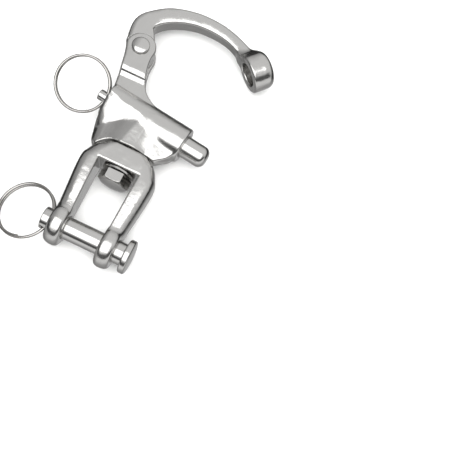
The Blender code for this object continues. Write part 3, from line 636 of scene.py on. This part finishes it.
# %% Wind a wire
def wound(radius, pitch, start, stop, wire_r, origin, axis, side, steps, sides=16, flat=1.0):
    """x = R cos a, y = R sin a, z = pitch a / 2 pi, with a circle of wire_r round each point,
    pressed along the coil's axis to the share flat."""
    a = np.linspace(start, stop, steps)[:, None]
    b = (np.arange(sides) * 2 * math.pi / sides)[None, :]
    out = radius + wire_r * np.cos(b)
    grid = np.stack([out * np.cos(a), out * np.sin(a),
                     pitch * a / (2 * math.pi) + flat * wire_r * np.sin(b)], axis=-1)
    points = place(grid.reshape(-1, 3), origin, axis, side)
    i = np.arange(steps - 1)[:, None] * sides
    j = np.arange(sides)[None, :]
    k = (j + 1) % sides
    quads = np.stack([i + j, i + sides + j, i + sides + k, i + k], axis=-1).reshape(-1, 4)
    centres = [points[:sides].mean(axis=0), points[-sides:].mean(axis=0)]
    total = steps * sides
    first = np.arange(sides)
    after = (first + 1) % sides
    last = total - sides
    caps = np.vstack([np.stack([first, after, np.full(sides, total)], axis=-1),
                      np.stack([after + last, first + last, np.full(sides, total + 1)], axis=-1)])
    return np.vstack([points, centres]), [quads, caps]


RING_R = 10.1
RING_WIRE_R = 0.53          # across the ring; 0.52 along its axis, where the turns meet
RING_FLAT = 0.98
RING_PITCH = 1.12


def ring_bow(hole_length):
    """Half of what the ring bows sideways inside a straight hole."""
    return (RING_R - math.sqrt(RING_R ** 2 - (hole_length / 2) ** 2)) / 2


def split_ring(name, origin, axis, side, turns, ends, body, node):
    """Wire of so many turns whose two ends lie either side of the angle ends."""
    points, faces = wound(RING_R, RING_PITCH, ends - math.pi * turns, ends + math.pi * turns,
                          RING_WIRE_R, origin + RING_R * side, axis, side, 260, flat=RING_FLAT)
    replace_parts(add_piece(name, points, faces, body, "wire_steel"), node)


# %% Split rings and spring
ring_axis = np.cross(swing, along)
ring_axis /= np.linalg.norm(ring_axis)
if ring_axis[2] < 0:
    ring_axis = -ring_axis
split_ring("pull_ring", along * (ring_bow(2 * TAIL_R) - plunger_hole), ring_axis, -along, 1.92,
           math.radians(147.0), "plunger_ring", "plunger_ring")
droop = math.radians(16.5)
side = np.array([-math.cos(droop), 0.0, -math.sin(droop)])
bow = ring_bow(2 * PIN_R)
split_ring("keeper_ring", np.array([-pin_hole, pin_y, 0.0]) - side * bow,
           np.array([-math.sin(droop), 0.0, math.cos(droop)]), side, 1.85, math.radians(132.0),
           "clevis_ring", "clevis_ring")

SPRING_WIRE_R = 0.4
SPRING_FIT = 0.35
SPRING_LOW = -SPRING_SEAT + SPRING_FIT + SPRING_WIRE_R
SPRING_HIGH = SHOULDER - SPRING_FIT - SPRING_WIRE_R
SPRING_TURNS = 7
points, faces = wound(3.0, (SPRING_HIGH - SPRING_LOW) / SPRING_TURNS, 0.0,
                      2 * math.pi * SPRING_TURNS, SPRING_WIRE_R, along * SPRING_LOW, along, up,
                      420, 12)
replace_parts(add_piece("return_spring", points, faces, "body", "wire_steel"), "plunger_spring")

# %% [markdown]
# ## The metal
# All of it is 316 stainless steel, and only the making differs. The castings were tumbled and
# buffed: a soft mirror with faint waves and a fine pebbled grain left from the mould. The pins were
# turned and polished: brighter, with the faintest rings round the axis. The rings are drawn
# spring wire, smooth along its length. A metal needs no colour pattern, so the colour is
# one value on the shader, and the detail is in roughness and bump.

# %% One colour function and one node helper
def linear(code):
    """The linear RGBA of an sRGB hex colour."""
    parts = [int(code[i:i + 2], 16) / 255 for i in (1, 3, 5)]
    return [c / 12.92 if c <= 0.04045 else ((c + 0.055) / 1.055) ** 2.4 for c in parts] + [1.0]


def node(tree, kind, settings=(), links=()):
    """Add a node, set its sockets or fields by name, and link its inputs from other sockets."""
    item = tree.nodes.new(kind)
    for key, value in dict(settings).items():
        if key in item.inputs:
            item.inputs[key].default_value = value
        else:
            setattr(item, key, value)
    for key, source in dict(links).items():
        tree.links.new(source, item.inputs[key])
    return item


def per_metre(size_mm):
    """Noise scale that makes features of about this size."""
    return 1.0 / (size_mm * MM)


def stainless(name, colour, rough_low, rough_high, wave_mm, grain_mm, wave_um, grain_um):
    """Bare steel: roughness drifts with the waves, and waves and grain give the bump."""
    material = bpy.data.materials.new(name)
    material.use_nodes = True
    tree = material.node_tree
    shader = tree.nodes["Principled BSDF"]
    shader.inputs["Base Color"].default_value = linear(colour)
    shader.inputs["Metallic"].default_value = 1.0
    place_on = node(tree, "ShaderNodeTexCoord").outputs["Object"]
    wave = node(tree, "ShaderNodeTexNoise", {"Scale": per_metre(wave_mm), "Detail": 2.0},
                {"Vector": place_on})
    grain = node(tree, "ShaderNodeTexNoise", {"Scale": per_metre(grain_mm), "Detail": 3.0},
                 {"Vector": place_on})
    rough = node(tree, "ShaderNodeMapRange", {"From Min": 0.3, "From Max": 0.7,
                                              "To Min": rough_low, "To Max": rough_high},
                 {"Value": wave.outputs["Fac"]})
    tree.links.new(rough.outputs["Result"], shader.inputs["Roughness"])
    low = node(tree, "ShaderNodeBump", {"Strength": 1.0, "Distance": wave_um * 1e-6},
               {"Height": wave.outputs["Fac"]})
    fine = node(tree, "ShaderNodeBump", {"Strength": 1.0, "Distance": grain_um * 1e-6},
                {"Height": grain.outputs["Fac"], "Normal": low.outputs["Normal"]})
    tree.links.new(fine.outputs["Normal"], shader.inputs["Normal"])
    return material


# %% Three finishes of one steel
finishes = {
    # Tumbled and buffed casting: waves of 6 mm, mould grain drawn at 0.5 mm so that it shows
    "cast_steel": stainless("cast_316_buffed", "#D2D1CF", 0.13, 0.24, 6.0, 0.5, 300.0, 24.0),
    # Lathe-turned and polished bar
    "turned_steel": stainless("turned_316_polished", "#D4D3D1", 0.10, 0.18, 3.0, 0.4, 20.0, 4.0),
    # Drawn spring wire
    "wire_steel": stainless("drawn_spring_wire", "#BDBBB8", 0.10, 0.18, 3.0, 0.3, 10.0, 2.0),
}
for piece in pieces.values():
    piece.data.materials.clear()
    piece.data.materials.append(finishes[piece["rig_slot"]])
print("materials:", sorted(material.name for material in finishes.values()))

# %% [markdown]
# ## Table, light and camera
# Polished steel shows its surroundings and little else, so the light is laid out for what it
# reflects: one soft box high in front, which gives the white facets, and a dimmer room round it.
# The room is dark just over the front horizon and below the back one, which gives the dark lines,
# and grey overhead, which gives the flat faces. One more lamp brightens the table and stays out
# of the reflections, and so does the table itself.

# %% Table
table = bpy.data.meshes.new("table")
reach = 3.0
table.from_pydata([(-reach, -reach, 0), (reach, -reach, 0), (reach, reach, 0), (-reach, reach, 0)],
                  [], [(0, 1, 2, 3)])
table_top = bpy.data.objects.new("table_top", table)
bpy.context.scene.collection.objects.link(table_top)
paper = bpy.data.materials.new("white_coated_paper")
paper.use_nodes = True
paper.node_tree.nodes["Principled BSDF"].inputs["Base Color"].default_value = linear("#F4F4F3")
paper.node_tree.nodes["Principled BSDF"].inputs["Roughness"].default_value = 0.7
table.materials.append(paper)


# %% Lamps and room
def card(name, azimuth, elevation, distance, width, height, power, in_reflections=True):
    """A rectangular lamp that faces the shackle; azimuth 0 is +X and 90 is +Y."""
    data = bpy.data.lights.new(name, "AREA")
    data.shape = "RECTANGLE"
    data.size = width
    data.size_y = height
    data.energy = power
    lamp = bpy.data.objects.new(name, data)
    bpy.context.scene.collection.objects.link(lamp)
    az, el = math.radians(azimuth), math.radians(elevation)
    lamp.location = (distance * math.cos(el) * math.cos(az),
                     distance * math.cos(el) * math.sin(az), distance * math.sin(el) + 0.007)
    lamp.rotation_euler = (math.pi / 2 - el, 0.0, az + math.pi / 2)
    lamp.visible_glossy = in_reflections
    return lamp


card("soft_box", -90.0, 70.0, 0.6, 0.9, 0.65, 2.6)
card("table_lamp", -90.0, 90.0, 1.0, 1.6, 1.6, 16.0, in_reflections=False)

room = bpy.data.worlds.new("room")
bpy.context.scene.world = room
room.use_nodes = True
tree = room.node_tree


def ramp(height, stops):
    """Brightness against height: pairs of place, from -1 below to 1 above, and brightness."""
    ramp_node = node(tree, "ShaderNodeValToRGB", {}, {"Fac": height})
    elements = ramp_node.color_ramp.elements
    while len(elements) < len(stops):
        elements.new(0.5)
    for element, (spot, level) in zip(elements, stops):
        element.position = (spot + 1) / 2
        element.color = (level, level, level, 1.0)
    return ramp_node.outputs["Color"]


direction = node(tree, "ShaderNodeTexCoord").outputs["Generated"]
parts = node(tree, "ShaderNodeSeparateXYZ", {}, {"Vector": direction})
height = node(tree, "ShaderNodeMapRange", {"From Min": -1.0, "From Max": 1.0},
              {"Value": parts.outputs["Z"]}).outputs["Result"]
front = ramp(height, [(-0.9, 0.3), (-0.6, 0.45), (-0.3, 0.8), (0.02, 0.85), (0.12, 0.08), (0.46, 0.1),
                      (0.6, 0.7)])
back = ramp(height, [(-0.9, 0.5), (-0.4, 0.04), (-0.05, 0.04), (0.05, 0.55), (0.5, 0.78)])
facing = node(tree, "ShaderNodeMapRange", {"From Min": -0.12, "From Max": 0.12},
              {"Value": parts.outputs["Y"]}).outputs["Result"]
blend = node(tree, "ShaderNodeMix", {"data_type": "RGBA"})
tree.links.new(facing, blend.inputs["Factor"])
tree.links.new(front, blend.inputs[6])
tree.links.new(back, blend.inputs[7])
side = node(tree, "ShaderNodeMapRange", {"From Min": -0.7, "From Max": -0.25, "To Min": 0.5,
                                         "To Max": 1.0}, {"Value": parts.outputs["X"]})
tree.links.new(side.outputs["Result"], tree.nodes["Background"].inputs["Strength"])
tree.links.new(blend.outputs[2], tree.nodes["Background"].inputs["Color"])
table_top.visible_glossy = False

# %% Camera
camera_data = bpy.data.cameras.new("camera")
camera_data.sensor_width = 36.0
camera_data.lens = 67.4
camera = bpy.data.objects.new("camera", camera_data)
bpy.context.scene.collection.objects.link(camera)
camera.location = (0.05588, -0.11345, 0.30005)
camera.rotation_euler = [math.radians(a) for a in (16.85, -6.30, 24.71)]
bpy.context.scene.camera = camera
bpy.context.scene.view_settings.view_transform = "Standard"
